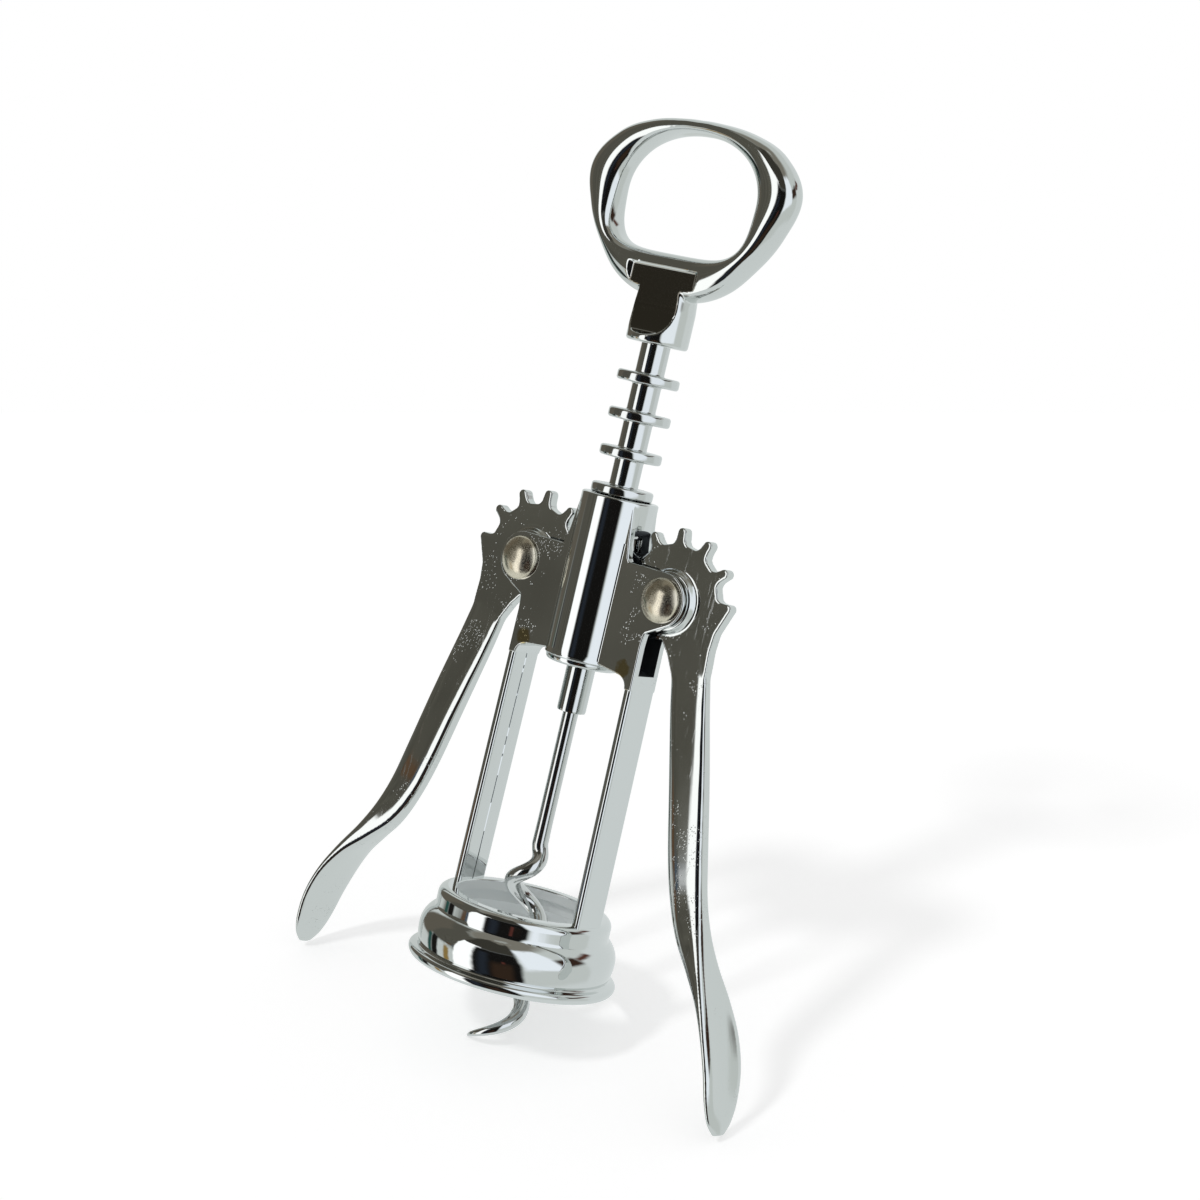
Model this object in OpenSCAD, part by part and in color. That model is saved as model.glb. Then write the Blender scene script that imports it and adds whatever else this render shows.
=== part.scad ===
// Wing corkscrew: a die-cast frame with a bottle bell, two geared levers, a ringed rack
// on a wire worm, and a turning handle with a crown-cap opening.
// Millimetres. The origin is the centre of the bell's lower rim, +Z runs up the barrel,
// +X points at the right lever's pivot and -Y is the front.

/* [Bell] */
// Greatest radius of the bell's lower bead
bell_r = 20.45; // [19.8:0.05:21.2]
// Height of the bell's top face above its rim
bell_h = 14.2; // [13.8:0.1:14.8]
// Radius of the hole in the bell's top
bell_hole_r = 13.7; // [13:0.1:14]
// Wall thickness of the bell's convex band
bell_wall = 1.7; // [1.4:0.1:2]
// Radius of the upper band, where the legs land
bell_neck_r = 17.1; // [16.9:0.1:17.3]

/* [Legs] */
// Thickness of a leg, seen from the front
leg_t = 1.75; // [1.55:0.05:2.15]
// Depth of a leg, front to back
leg_depth = 7.5; // [7:0.1:7.5]
// Distance of a leg's centre line from the axis where it lands on the bell
leg_foot_x = 15.35; // [15.15:0.05:15.6]
// Distance of a leg's centre line from the axis under the ears
leg_head_x = 14.75; // [14.2:0.05:14.9]

/* [Barrel and ears] */
// Outer radius of the barrel that guides the rack
barrel_r = 7.45; // [7.2:0.05:7.6]
// Height of the barrel's lower end
barrel_bottom_z = 61.3; // [60.8:0.1:61.6]
// Height of the barrel's upper end
barrel_top_z = 94.2; // [93.6:0.1:94.2]
// Distance of a lever's pivot from the axis
pivot_x = 17.7; // [17.6:0.05:17.9]
// Height of the pivots
pivot_z = 78; // [77.8:0.05:78.2]
// Radius of an ear round its pivot
ear_r = 5.2; // [5:0.1:5.6]
// Depth over both ears, front to back
ear_depth = 7.6; // [7.6:0.1:8.6]
// Width of the slot between the two ears
slot_w = 4.8; // [4.7:0.05:5]
// Radius of the pocket that the gear turns in
pocket_r = 15.2; // [14.8:0.1:15.4]

/* [Levers] */
// How far the levers stand open in the stored pose, in degrees
lever_open = 16.5; // [16.5:0.5:60]
// Radius over the tips of the gear teeth
gear_tip_r = 13.9; // [13.6:0.05:13.95]
// Radius at the foot of the teeth
gear_root_r = 10.8; // [10.2:0.1:11]
// Width of a tooth near its rounded tip
tooth_w = 1.9; // [1.6:0.1:1.9]
// Thickness of the gear plate
gear_t = 3.2; // [2.8:0.1:3.6]

/* [Rack and worm] */
// Radius of the rack's rings
ring_r = 6; // [5.9:0.05:6]
// Thickness of a ring
ring_t = 2; // [1.8:0.1:2]
// Spacing of the rings
ring_pitch = 7.25; // [7.24:0.01:7.26]
// Radius of the stem that carries the rings
stem_r = 2.8; // [2.6:0.05:3]
// Radius of the worm's wire
wire_r = 1.5; // [1.3:0.05:1.6]
// Radius of the worm's centre line
worm_r = 3.6; // [3.2:0.1:3.9]
// Rise of the worm in one turn
worm_pitch = 16; // [15:0.5:17]

/* [Handle] */
// Radius of the boss that takes the wire
boss_r = 6; // [5.8:0.1:6.2]
// Height of the boss's lower face
boss_z = 123.7; // [123.6:0.1:124.4]
// Half the width of the opening
opening_r = 16.4; // [15.8:0.1:16.8]
// Height of the top of the straight bar under the opening
bar_z = 141; // [140.5:0.1:141.5]
// Depth of the ring, front to back
hoop_depth = 7; // [6:0.2:7.4]

/* [Hidden] */
$fn = 64;
run_gap = 0.05;

// --- curves -------------------------------------------------------------------------

// Points on an arc about c, from angle a0 to a1, in n steps
function arc(c, r, a0, a1, n) =
    [for (i = [0:n]) let (a = a0 + (a1 - a0) * i / n) c + r * [cos(a), sin(a)]];

// A smooth curve through the rows of t, read at u from 0 to len(t) - 1
function row(t, i) = t[max(0, min(len(t) - 1, i))];
function smooth(t, u) =
    let (i = min(floor(u), len(t) - 2), f = u - i)
    let (a = row(t, i - 1), b = row(t, i), c = row(t, i + 1), d = row(t, i + 2))
    b + 0.5 * f * (c - a + f * (2 * a - 5 * b + 4 * c - d + f * (3 * (b - c) + d - a)));

// One rounded section: half width h, half depth d, corner exponent e, at angle a
function power(v, e) = sign(v) * pow(abs(v), 2 / e);
function rounded(h, d, e, a) = [h * power(cos(a), e), d * power(sin(a), e)];

// A closed skin over rings of n points each, with flat ends
module loft(rings) {
    n = len(rings[0]);
    m = len(rings);
    sides = [
        for (i = [0:m - 2], j = [0:n - 1])
        let (p = i * n + j, q = i * n + (j + 1) % n)
        each [[p, q, q + n], [p, q + n, p + n]]
    ];
    first_end = [for (j = [1:n - 2]) [0, j + 1, j]];
    last_end = [for (j = [1:n - 2]) (m - 1) * n * [1, 1, 1] + [0, j, j + 1]];
    polyhedron(points = [for (r = rings) each r], faces = concat(sides, first_end, last_end));
}

// A skin over rings that close on themselves, such as a hoop
module hoop_skin(rings) {
    n = len(rings[0]);
    m = len(rings);
    sides = [
        for (i = [0:m - 1], j = [0:n - 1])
        let (a = i * n, b = ((i + 1) % m) * n, k = (j + 1) % n)
        each [[a + j, b + k, a + k], [a + j, b + j, b + k]]
    ];
    polyhedron(points = [for (r = rings) each r], faces = sides);
}

// Lays a front outline (X, Z) upright and gives it depth either side of the middle plane
module upright(depth) {
    rotate([90, 0, 0])
        linear_extrude(height = depth, center = true)
            children();
}

// Turns a profile (radius, distance forward) round an axis that points at the front
module turned_forward() {
    rotate([90, 0, 0])
        rotate_extrude()
            children();
}

// --- frame: bell, legs, ears and barrel, one casting ----------------------------------

bead_r = 1.5;
band_r = 5;
band_c = [bell_r - 6.1, 6];
top_round = 1.7;
mouth_r = bell_r - 2.2;
ceiling_z = bell_h - 2;

bell_outline = concat(
    [[mouth_r, 0]],
    arc([bell_r - bead_r, bead_r], bead_r, -90, 62, 8),
    [[bell_r - 1.1, 3.5], [bell_r - 1.3, 3.9]],
    arc(band_c, band_r, -19, 52, 10),
    [[bell_neck_r + 0.05, 10.25], [bell_neck_r, 10.7]],
    arc([bell_neck_r - top_round, bell_h - top_round], top_round, 0, 90, 6),
    [[bell_hole_r + 0.3, bell_h], [bell_hole_r, bell_h - 0.3]],
    [[bell_hole_r, ceiling_z], [bell_neck_r - 2, ceiling_z], [bell_neck_r - 1.5, ceiling_z - 0.5]],
    [[bell_neck_r - 1.5, 9.6]],
    arc(band_c, band_r - bell_wall, 40, -25, 6),
    [[mouth_r - 0.2, 1]]
);

leg_lean = atan((leg_foot_x - leg_head_x) / 45.5);
function leg_x(z) = leg_head_x + (59 - z) * tan(leg_lean);

module leg() {
    foot_z = bell_h - 1.6;
    corner = 0.65;
    section = [
        for (c = [[1, 1, 0], [-1, 1, 90], [-1, -1, 180], [1, -1, 270]])
        each arc([c[0] * (leg_t / 2 - corner), c[1] * (leg_depth / 2 - corner)], corner, c[2], c[2] + 90, 5)
    ];
    translate([leg_x(foot_z), 0, foot_z])
        rotate([0, -leg_lean, 0])
            linear_extrude(height = 62 - foot_z)
                polygon(section);
}

ear_top_z = pivot_z + ear_r;
ear_arm_z = 62.3;
web_fillet = 2.4;
fin_top_z = 93.7;

// The ears, the arms under them and a thin fin that runs up the barrel's side, as one outline
module ear_outline() {
    inner_x = leg_x(59) - leg_t / 2;
    outer_x = leg_x(69) + leg_t / 2;
    foot_z = ear_arm_z - web_fillet;
    polygon(concat(
        [[barrel_r - 2, fin_top_z], [barrel_r - 1, fin_top_z], [barrel_r - 0.05, ear_top_z + 3.3]],
        [[barrel_r + 0.45, ear_top_z + 0.7], [barrel_r + 0.9, ear_top_z]],
        arc([pivot_x, pivot_z], ear_r, 90, -55, 14),
        [[outer_x + 0.35, 71.2], [outer_x + 0.1, 70], [outer_x, 68.4]],
        [[leg_x(foot_z) + leg_t / 2, foot_z]],
        arc([inner_x - web_fillet, foot_z], web_fillet, 0, 90, 6),
        [[barrel_r - 2, ear_arm_z + 0.7]]
    ));
}

barrel_bore_r = ring_r + 0.1;
// The lower end is a narrow lip under a fine rim
barrel_outline = [
    [barrel_bore_r - 1, barrel_bottom_z],
    [barrel_r - 0.9, barrel_bottom_z],
    [barrel_r - 0.55, barrel_bottom_z + 0.15],
    [barrel_r - 0.3, barrel_bottom_z + 0.55],
    [barrel_r - 0.25, barrel_bottom_z + 1.1],
    [barrel_r + 0.1, barrel_bottom_z + 1.3],
    [barrel_r + 0.15, barrel_bottom_z + 1.5],
    [barrel_r + 0.05, barrel_bottom_z + 1.9],
    [barrel_r, barrel_bottom_z + 2.6],
    [barrel_r, barrel_top_z - 0.5],
    [barrel_r - 0.15, barrel_top_z - 0.15],
    [barrel_r - 0.5, barrel_top_z],
    [barrel_bore_r - 1, barrel_top_z]
];

rivet_r = 2.5;

module frame_side() {
    leg();
    upright(ear_depth) ear_outline();
}

module frame() {
    color("#b9bdbd")
    difference() {
        union() {
            rotate_extrude($fn = 128) polygon(bell_outline);
            rotate_extrude() polygon(barrel_outline);
            frame_side();
            mirror([1, 0, 0]) frame_side();
        }
        translate([0, 0, barrel_bottom_z - 1])
            cylinder(r = barrel_bore_r, h = barrel_top_z - barrel_bottom_z + 2);
        for (side = [-1, 1])
            translate([side * pivot_x, 0, pivot_z])
                rotate([90, 0, 0]) {
                    cylinder(r = pocket_r, h = slot_w, center = true);
                    cylinder(r = rivet_r, h = ear_depth + 2, center = true);
                }
    }
}

// --- levers ---------------------------------------------------------------------------
// Drawn closed, with the pivot at the origin, +X outwards and the shank hanging down.

teeth = 7;
tooth_step = 29.05;
photographed_open = 16.5;
first_tooth = 19.5;
hub_r = 5.7;
hub_foot_r = 7;
hub_t = slot_w - 0.2;

// One finger-like tooth at angle a, from its foot on one side to its foot on the other
function turned(p, a) = [p[0] * cos(a) - p[1] * sin(a), p[0] * sin(a) + p[1] * cos(a)];
function tooth(a) =
    let (w = tooth_w / 2, foot = 1.75)
    [for (p = concat(
        [[gear_root_r - 0.15, -foot], [gear_root_r + 0.7, -w - 0.15], [gear_tip_r - 1.4, -w]],
        arc([gear_tip_r - w, 0], w, -75, 75, 6),
        [[gear_tip_r - 1.4, w], [gear_root_r + 0.7, w + 0.15], [gear_root_r - 0.15, foot]]
    )) turned(p, a)];

// The last tooth is cut off by the lever's outer edge
heel = tooth(first_tooth - tooth_step);
lever_plate = concat(
    [[4, -24], [6.6, -19.5], [8.3, -13], [9.1, -9.6], [10.3, -6.6], [12.1, -4.4]],
    [for (i = [5:len(heel) - 1]) heel[i]],
    [for (k = [0:teeth - 1]) each tooth(first_tooth + k * tooth_step)],
    [for (p = [[10.2, 212], [8.8, 228], [7.7, 243], [7.45, 255.5]]) turned([p[0], 0], p[1])],
    [[-0.7, -9.8], [0.1, -13], [1.2, -19.5]]
);

// Stations down the shank and paddle: x, z, half width, half depth, corner exponent, dish
shank = [
    [3.4, -5, 3.6, 1.3, 5, 0],
    [3.75, -9, 3.9, 1.45, 5, 0],
    [4.1, -13, 3.95, 1.7, 5, 0],
    [3.85, -21, 4, 1.9, 5, 0],
    [3.7, -34, 4, 2, 5, 0],
    [3.4, -47, 3.9, 2, 4, 0],
    [3.6, -55, 3.6, 2.1, 3.5, 0],
    [4.6, -61.5, 3.1, 2.6, 3, 0],
    [6.6, -67.5, 2.2, 3.8, 2.6, 0.1],
    [8.9, -73.5, 1.55, 4.9, 2.4, 0.5],
    [10.4, -79.5, 1.3, 5.6, 2.4, 0.8],
    [11, -85.5, 1.2, 5.6, 2.4, 0.8],
    [10.7, -91, 1.1, 4.9, 2.4, 0.4],
    [10.3, -94.8, 0.95, 3.5, 2.2, 0],
    [10.1, -97, 0.6, 1.6, 2, 0]
];
shank_steps = 3;
shank_points = 20;

function shank_ring(u) =
    let (s = smooth(shank, u), ahead = smooth(shank, min(u + 0.05, len(shank) - 1)))
    let (behind = smooth(shank, max(u - 0.05, 0)))
    let (way = [ahead[0] - behind[0], ahead[1] - behind[1]], out = [-way[1], way[0]] / norm(way))
    [for (j = [0:shank_points - 1])
        let (p = rounded(s[2], s[3], s[4], 360 * (j + 0.5) / shank_points))
        let (dish = p[0] > 0 ? s[5] * max(0, 1 - pow(1.35 * p[1] / s[3], 2)) : 0)
        [s[0] + out[0] * (p[0] - dish), p[1], s[1] + out[1] * (p[0] - dish)]];

module lever() {
    steps = (len(shank) - 1) * shank_steps;
    difference() {
        union() {
            upright(gear_t) polygon(lever_plate);
            turned_forward()
                polygon([
                    [0, -hub_t / 2], [hub_r, -hub_t / 2], [hub_foot_r, -gear_t / 2],
                    [hub_foot_r, gear_t / 2], [hub_r, hub_t / 2], [0, hub_t / 2]
                ]);
            loft([for (i = [0:steps]) shank_ring(i / shank_steps)]);
        }
        rotate([90, 0, 0]) cylinder(r = rivet_r + run_gap, h = slot_w + 2, center = true);
    }
}

module lever_right() {
    color("#8e9290")
        translate([pivot_x, 0, pivot_z])
            rotate([0, -lever_open, 0])
                lever();
}

module lever_left() {
    color("#8e9290")
        mirror([1, 0, 0])
            translate([pivot_x, 0, pivot_z])
                rotate([0, -lever_open, 0])
                    lever();
}

// --- rivets -----------------------------------------------------------------------------

head_r = 4.25;
head_edge = 0.6;
dome_h = 1.7;
tail_r = 3.7;

module rivet(side) {
    dome_r = (head_r * head_r + dome_h * dome_h) / (2 * dome_h);
    half_angle = asin(head_r / dome_r);
    front = ear_depth / 2;
    translate([side * pivot_x, 0, pivot_z])
        turned_forward()
            polygon(concat(
                [[0, -front - 1.3], [tail_r - 1.2, -front - 1.3], [tail_r - 0.3, -front - 0.9]],
                [[tail_r, -front - 0.4], [tail_r, -front], [rivet_r, -front], [rivet_r, front]],
                [[head_r, front]],
                arc([0, front + head_edge + dome_h - dome_r], dome_r, 90 - half_angle, 90, 8)
            ));
}

module rivet_left() {
    color("#cdbf9c") rivet(-1);
}

module rivet_right() {
    color("#cdbf9c") rivet(1);
}

// --- rack: a ringed sleeve that the gears drive -------------------------------------------

// Rack, worm and handle stand lower by one ring spacing for each tooth that the levers open
rack_drop = ring_pitch * (lever_open - photographed_open) / tooth_step;

rings = 8;
top_ring_z = 117;
stem_bottom_z = 52;
rim_round = 0.55;

function ring_outline(z) = concat(
    [[stem_r, z - ring_t / 2 - 0.35], [stem_r + 0.35, z - ring_t / 2]],
    arc([ring_r - rim_round, z - ring_t / 2 + rim_round], rim_round, -90, 0, 4),
    arc([ring_r - rim_round, z + ring_t / 2 - rim_round], rim_round, 0, 90, 4),
    [[stem_r + 0.35, z + ring_t / 2], [stem_r, z + ring_t / 2 + 0.35]]
);

module rack() {
    color("#b4b8b8")
    translate([0, 0, -rack_drop])
    difference() {
        rotate_extrude()
            polygon(concat(
                [[0, stem_bottom_z], [stem_r - 0.5, stem_bottom_z], [stem_r, stem_bottom_z + 0.5]],
                [for (k = [rings - 1:-1:0]) each ring_outline(top_ring_z - k * ring_pitch)],
                [[stem_r, boss_z - run_gap], [0, boss_z - run_gap]]
            ));
        translate([0, 0, stem_bottom_z - 1])
            cylinder(r = wire_r + run_gap, h = boss_z - stem_bottom_z + 2);
    }
}

// --- worm: a straight shank that runs out into an open right-handed helix -------------------

wire_top_z = 133;
helix_top_z = 31;
worm_tip_z = -14.4;
lead_in = 26;
worm_steps = 66;
worm_sides = 12;
tip_azimuth = 218;
tip_taper = 0.42;

function eased(v) = let (t = max(0, min(1, v))) t * t * (3 - 2 * t);
function worm_point(z) =
    let (a = tip_azimuth + 360 * (z - worm_tip_z) / worm_pitch)
    let (r = worm_r * eased((lead_in - z) / 8) + 1.6 * eased((-6 - z) / 8))
    [r * cos(a), r * sin(a), z];

function worm_ring(u) =
    let (z = helix_top_z - (helix_top_z - worm_tip_z) * u)
    let (c = worm_point(z), way = worm_point(z - 0.2) - worm_point(z + 0.2), t = way / norm(way))
    let (side = cross(t, [sin(tip_azimuth), -cos(tip_azimuth), 0.3]), e = side / norm(side), f = cross(e, t))
    let (turns_left = (z - worm_tip_z) / worm_pitch)
    let (taper = turns_left > tip_taper ? 1 : 0.08 + 0.92 * pow(turns_left / tip_taper, 0.75))
    let (r = 1.04 * wire_r * taper)
    [for (j = [0:worm_sides - 1]) let (a = 360 * j / worm_sides) c + r * (cos(a) * e + sin(a) * f)];

module worm() {
    color("#c3c7c7")
    translate([0, 0, -rack_drop]) {
        translate([0, 0, helix_top_z - 1])
            cylinder(r = wire_r, h = wire_top_z - helix_top_z + 1);
        loft([for (i = [0:worm_steps]) worm_ring(i / worm_steps)]);
    }
}

// --- handle: boss, crown-cap bar and hoop ----------------------------------------------------

hoop_c = 151.3;
hoop_rings = 48;
hoop_points = 16;
// Outer edge of the hoop: its radius every 20 degrees from straight down to straight up
hoop_edge = [[18.3], [19.6], [20.3], [20.6], [22.5], [24.7], [21.9], [18.2], [15.8], [15]];

// The opening is a wide oval above the hoop's centre and nearly straight along the bar below it
function outer_radius(a) = smooth(hoop_edge, a / 20)[0];
function inner_radius(a) =
    let (up = a > 90, h = up ? 12.3 : hoop_c - bar_z, e = up ? 2.2 : 3.2)
    pow(pow(sin(a) / opening_r, e) + pow(abs(cos(a)) / h, e), -1 / e);

function hoop_ring(turn) =
    let (a = turn > 180 ? 360 - turn : turn, ro = outer_radius(a), ri = inner_radius(a))
    [for (j = [0:hoop_points - 1])
        let (p = rounded((ro - ri) / 2, hoop_depth / 2, 2.4, 360 * (j + 0.5) / hoop_points))
        let (r = (ro + ri) / 2 + p[0])
        [r * sin(turn), p[1], hoop_c - r * cos(turn)]];

// The scoop in front that gives a cap's edge room under the bar: distance behind the front, height
scoop_top_z = bar_z - 2.7;
scoop = [
    [-2.9, scoop_top_z], [-2.9, 131], [-3.2, 128.9], [-3.9, 127.1], [-4.9, 125.7], [-6.4, 124.9],
    [-8, 124.9], [-8, scoop_top_z]
];
scoop_w = 18;
boss_outline = [
    [0, boss_z], [boss_r - 0.7, boss_z], [boss_r - 0.2, boss_z + 0.2], [boss_r, boss_z + 0.7],
    [boss_r, 130.5], [boss_r - 0.2, 133], [boss_r - 0.9, 135.5], [boss_r - 2, 137.6],
    [boss_r - 3.5, 139], [0, 139.3]
];

module handle() {
    color("#a9adac")
    translate([0, 0, -rack_drop])
    difference() {
        union() {
            rotate_extrude() polygon(boss_outline);
            hoop_skin([for (i = [0:hoop_rings - 1]) hoop_ring(360 * i / hoop_rings)]);
        }
        rotate([90, 0, 90])
            linear_extrude(height = scoop_w, center = true)
                polygon(scoop);
        translate([0, 0, boss_z - 1])
            cylinder(r = wire_r, h = wire_top_z - boss_z + 1);
    }
}

frame();
lever_left();
lever_right();
rivet_left();
rivet_right();
rack();
worm();
handle();
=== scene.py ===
# Wing corkscrew: the looks of a chrome plated casting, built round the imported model.
# Lengths are in millimetres until a mesh is made. +Z runs up the barrel, -Y is the front.
import bpy
import bmesh
from math import atan2, cos, pi, radians, sin, sqrt
from mathutils import Matrix, Vector


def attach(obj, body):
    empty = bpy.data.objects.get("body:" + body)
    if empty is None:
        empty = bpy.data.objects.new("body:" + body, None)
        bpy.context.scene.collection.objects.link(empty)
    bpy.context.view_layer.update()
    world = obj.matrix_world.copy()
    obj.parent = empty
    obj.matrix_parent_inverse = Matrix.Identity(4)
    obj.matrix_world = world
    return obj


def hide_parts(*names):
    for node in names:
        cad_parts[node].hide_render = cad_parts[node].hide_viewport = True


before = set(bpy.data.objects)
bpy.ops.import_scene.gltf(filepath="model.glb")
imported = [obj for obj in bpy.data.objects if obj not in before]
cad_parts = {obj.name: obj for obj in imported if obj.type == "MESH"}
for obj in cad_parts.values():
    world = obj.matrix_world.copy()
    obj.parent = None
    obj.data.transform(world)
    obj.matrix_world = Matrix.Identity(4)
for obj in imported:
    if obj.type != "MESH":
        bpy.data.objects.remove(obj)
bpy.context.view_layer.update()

MM = 0.001

# --- curves ---------------------------------------------------------------------------


def arc(centre, r, a0, a1, n):
    """Points on an arc about centre, from angle a0 to a1 in degrees, in n steps."""
    angles = [radians(a0 + (a1 - a0) * i / n) for i in range(n + 1)]
    return [(centre[0] + r * cos(a), centre[1] + r * sin(a)) for a in angles]


def smooth_row(table, u):
    """A smooth curve through the rows of a table, read at u from 0 to its last row."""
    last = len(table) - 1
    i = min(int(u), last - 1)
    f = u - i
    a, b, c, d = (table[max(0, min(last, k))] for k in (i - 1, i, i + 1, i + 2))
    return [
        q + 0.5 * f * (r - p + f * (2 * p - 5 * q + 4 * r - s + f * (3 * (q - r) + s - p)))
        for p, q, r, s in zip(a, b, c, d)
    ]


def power(v, e):
    """The signed power of a sine or cosine that squares a round section's corners."""
    return (1 if v >= 0 else -1) * abs(v) ** (2 / e)


def rounded(h, d, e, a):
    """One point of a rounded section: half width h, half depth d, corner exponent e."""
    return h * power(cos(a), e), d * power(sin(a), e)


def eased(v):
    """0 below 0, 1 above 1, and a smooth rise between."""
    t = max(0.0, min(1.0, v))
    return t * t * (3 - 2 * t)


# --- making pieces ----------------------------------------------------------------------


def piece(name, points, faces):
    """A mesh object from points in millimetres."""
    mesh = bpy.data.meshes.new(name)
    mesh.from_pydata([[c * MM for c in p] for p in points], [], faces)
    made = bpy.data.objects.new(name, mesh)
    bpy.context.scene.collection.objects.link(made)
    return made


def turned(name, outline, segments, forward=False, centre=(0, 0, 0)):
    """A closed outline (radius, height) turned round +Z, or round an axis that points forward."""
    points, faces, n = [], [], len(outline)
    for k in range(segments):
        a = 2 * pi * k / segments
        for r, h in outline:
            x, y, z = r * cos(a), r * sin(a), h
            if forward:
                x, y, z = x, -z, y
            points.append((x + centre[0], y + centre[1], z + centre[2]))
    for k in range(segments):
        p, q = k * n, ((k + 1) % segments) * n
        for i in range(n):
            j = (i + 1) % n
            if outline[i][0] < 1e-6 and outline[j][0] < 1e-6:
                continue
            faces.append((p + i, q + i, q + j, p + j))
    return tidied(piece(name, points, faces))


def upright(name, outline, depth):
    """A front outline (X, Z) with depth either side of the middle plane."""
    n = len(outline)
    points = [(x, -depth / 2, z) for x, z in outline] + [(x, depth / 2, z) for x, z in outline]
    faces = [tuple(range(n)), tuple(reversed(range(n, 2 * n)))]
    faces += [(i, n + i, n + (i + 1) % n, (i + 1) % n) for i in range(n)]
    return tidied(piece(name, points, faces))


def lofted(name, rings, closed=False):
    """A skin over rings of points, with flat ends or closed on itself."""
    n, m = len(rings[0]), len(rings)
    faces = [
        (i * n + j, i * n + (j + 1) % n, (i + 1) % m * n + (j + 1) % n, (i + 1) % m * n + j)
        for i in range(m if closed else m - 1)
        for j in range(n)
    ]
    if not closed:
        faces += [tuple(reversed(range(n))), tuple(range((m - 1) * n, m * n))]
    return tidied(piece(name, [p for ring in rings for p in ring], faces))


def tidied(made):
    """Merges doubled points and makes every face look outwards."""
    work = bmesh.new()
    work.from_mesh(made.data)
    bmesh.ops.remove_doubles(work, verts=work.verts, dist=1e-7)
    bmesh.ops.dissolve_degenerate(work, edges=work.edges, dist=1e-8)
    bmesh.ops.recalc_face_normals(work, faces=work.faces)
    work.to_mesh(made.data)
    work.free()
    return made


def baked(made):
    """Puts the result of a piece's modifiers into its mesh."""
    graph = bpy.context.evaluated_depsgraph_get()
    mesh = bpy.data.meshes.new_from_object(made.evaluated_get(graph))
    made.modifiers.clear()
    made.data = mesh
    return made


def combined(made, other, how="UNION"):
    """Joins other to a piece, or cuts it away, and drops other. Both have to be closed."""
    step = made.modifiers.new(how, "BOOLEAN")
    step.operation = how
    step.object = other
    step.solver = "MANIFOLD"
    baked(made)
    bpy.data.objects.remove(other)
    return made


def edges_rounded(made, width, steps):
    """Rounds a piece's corners, as a polishing wheel leaves them."""
    step = made.modifiers.new("edges", "BEVEL")
    step.width = width * MM
    step.segments = steps
    step.limit_method = "ANGLE"
    step.angle_limit = radians(40)
    return baked(made)


def cast_skin(parts, grain, passes):
    """Fuses overlapping forms into one skin with softened corners, as a mould gives them."""
    target = parts[0]
    work = bmesh.new()
    for form in parts:
        work.from_mesh(form.data)
    work.to_mesh(target.data)
    work.free()
    for form in parts[1:]:
        bpy.data.objects.remove(form)
    remesh = target.modifiers.new("skin", "REMESH")
    remesh.mode = "VOXEL"
    remesh.voxel_size = grain * MM
    soften = target.modifiers.new("soften", "SMOOTH")
    soften.factor = 0.5
    soften.iterations = passes
    return baked(target)


def mirrored(made, name):
    """The same form on the other side of the axis."""
    mesh = made.data.copy()
    mesh.transform(Matrix.Scale(-1, 4, (1, 0, 0)))
    mesh.flip_normals()
    other = bpy.data.objects.new(name, mesh)
    bpy.context.scene.collection.objects.link(other)
    return other


def finished(made, material, sharp=34):
    """Smooth shading that keeps real corners sharp and flat faces flat."""
    made.data.materials.clear()
    made.data.materials.append(material)
    work = bmesh.new()
    work.from_mesh(made.data)
    for face in work.faces:
        face.smooth = True
    for edge in work.edges:
        edge.smooth = len(edge.link_faces) == 2 and edge.calc_face_angle(0) < radians(sharp)
    work.to_mesh(made.data)
    work.free()
    step = made.modifiers.new("faces", "WEIGHTED_NORMAL")
    step.keep_sharp = True
    return made


# --- sizes ------------------------------------------------------------------------------

# They repeat the part's own, apart from thinner levers and a lower bead on the bell
BELL_R, BELL_H, BELL_HOLE_R, BELL_WALL, BELL_NECK_R = 20.45, 14.2, 13.7, 1.7, 17.1
LEG_T, LEG_DEPTH, LEG_FOOT_X, LEG_HEAD_X = 1.75, 7.5, 15.35, 14.75
BARREL_R, BARREL_BOTTOM, BARREL_TOP = 7.45, 61.3, 94.2
PIVOT_X, PIVOT_Z, EAR_R, EAR_DEPTH = 17.7, 78.0, 5.2, 7.6
ARM_Z = 62.3
SLOT_W, POCKET_R = 4.8, 15.2
OPEN = radians(16.5)
TIP_R, ROOT_R, TOOTH_W, GEAR_T = 13.9, 10.8, 1.9, 2.2
RING_R, RING_T, RING_PITCH, STEM_R = 6.0, 2.0, 7.25, 2.8
WIRE_R, WORM_R, WORM_PITCH = 1.5, 3.6, 16.0
BOSS_R, BOSS_Z, OPENING_R, BAR_Z, HOOP_DEPTH = 6.0, 123.7, 16.4, 141.0, 7.0
RIVET_R = 2.5
BORE_R = RING_R + 0.1

# --- frame: bell, legs, ears and barrel, one casting -----------------------------------------


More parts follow.
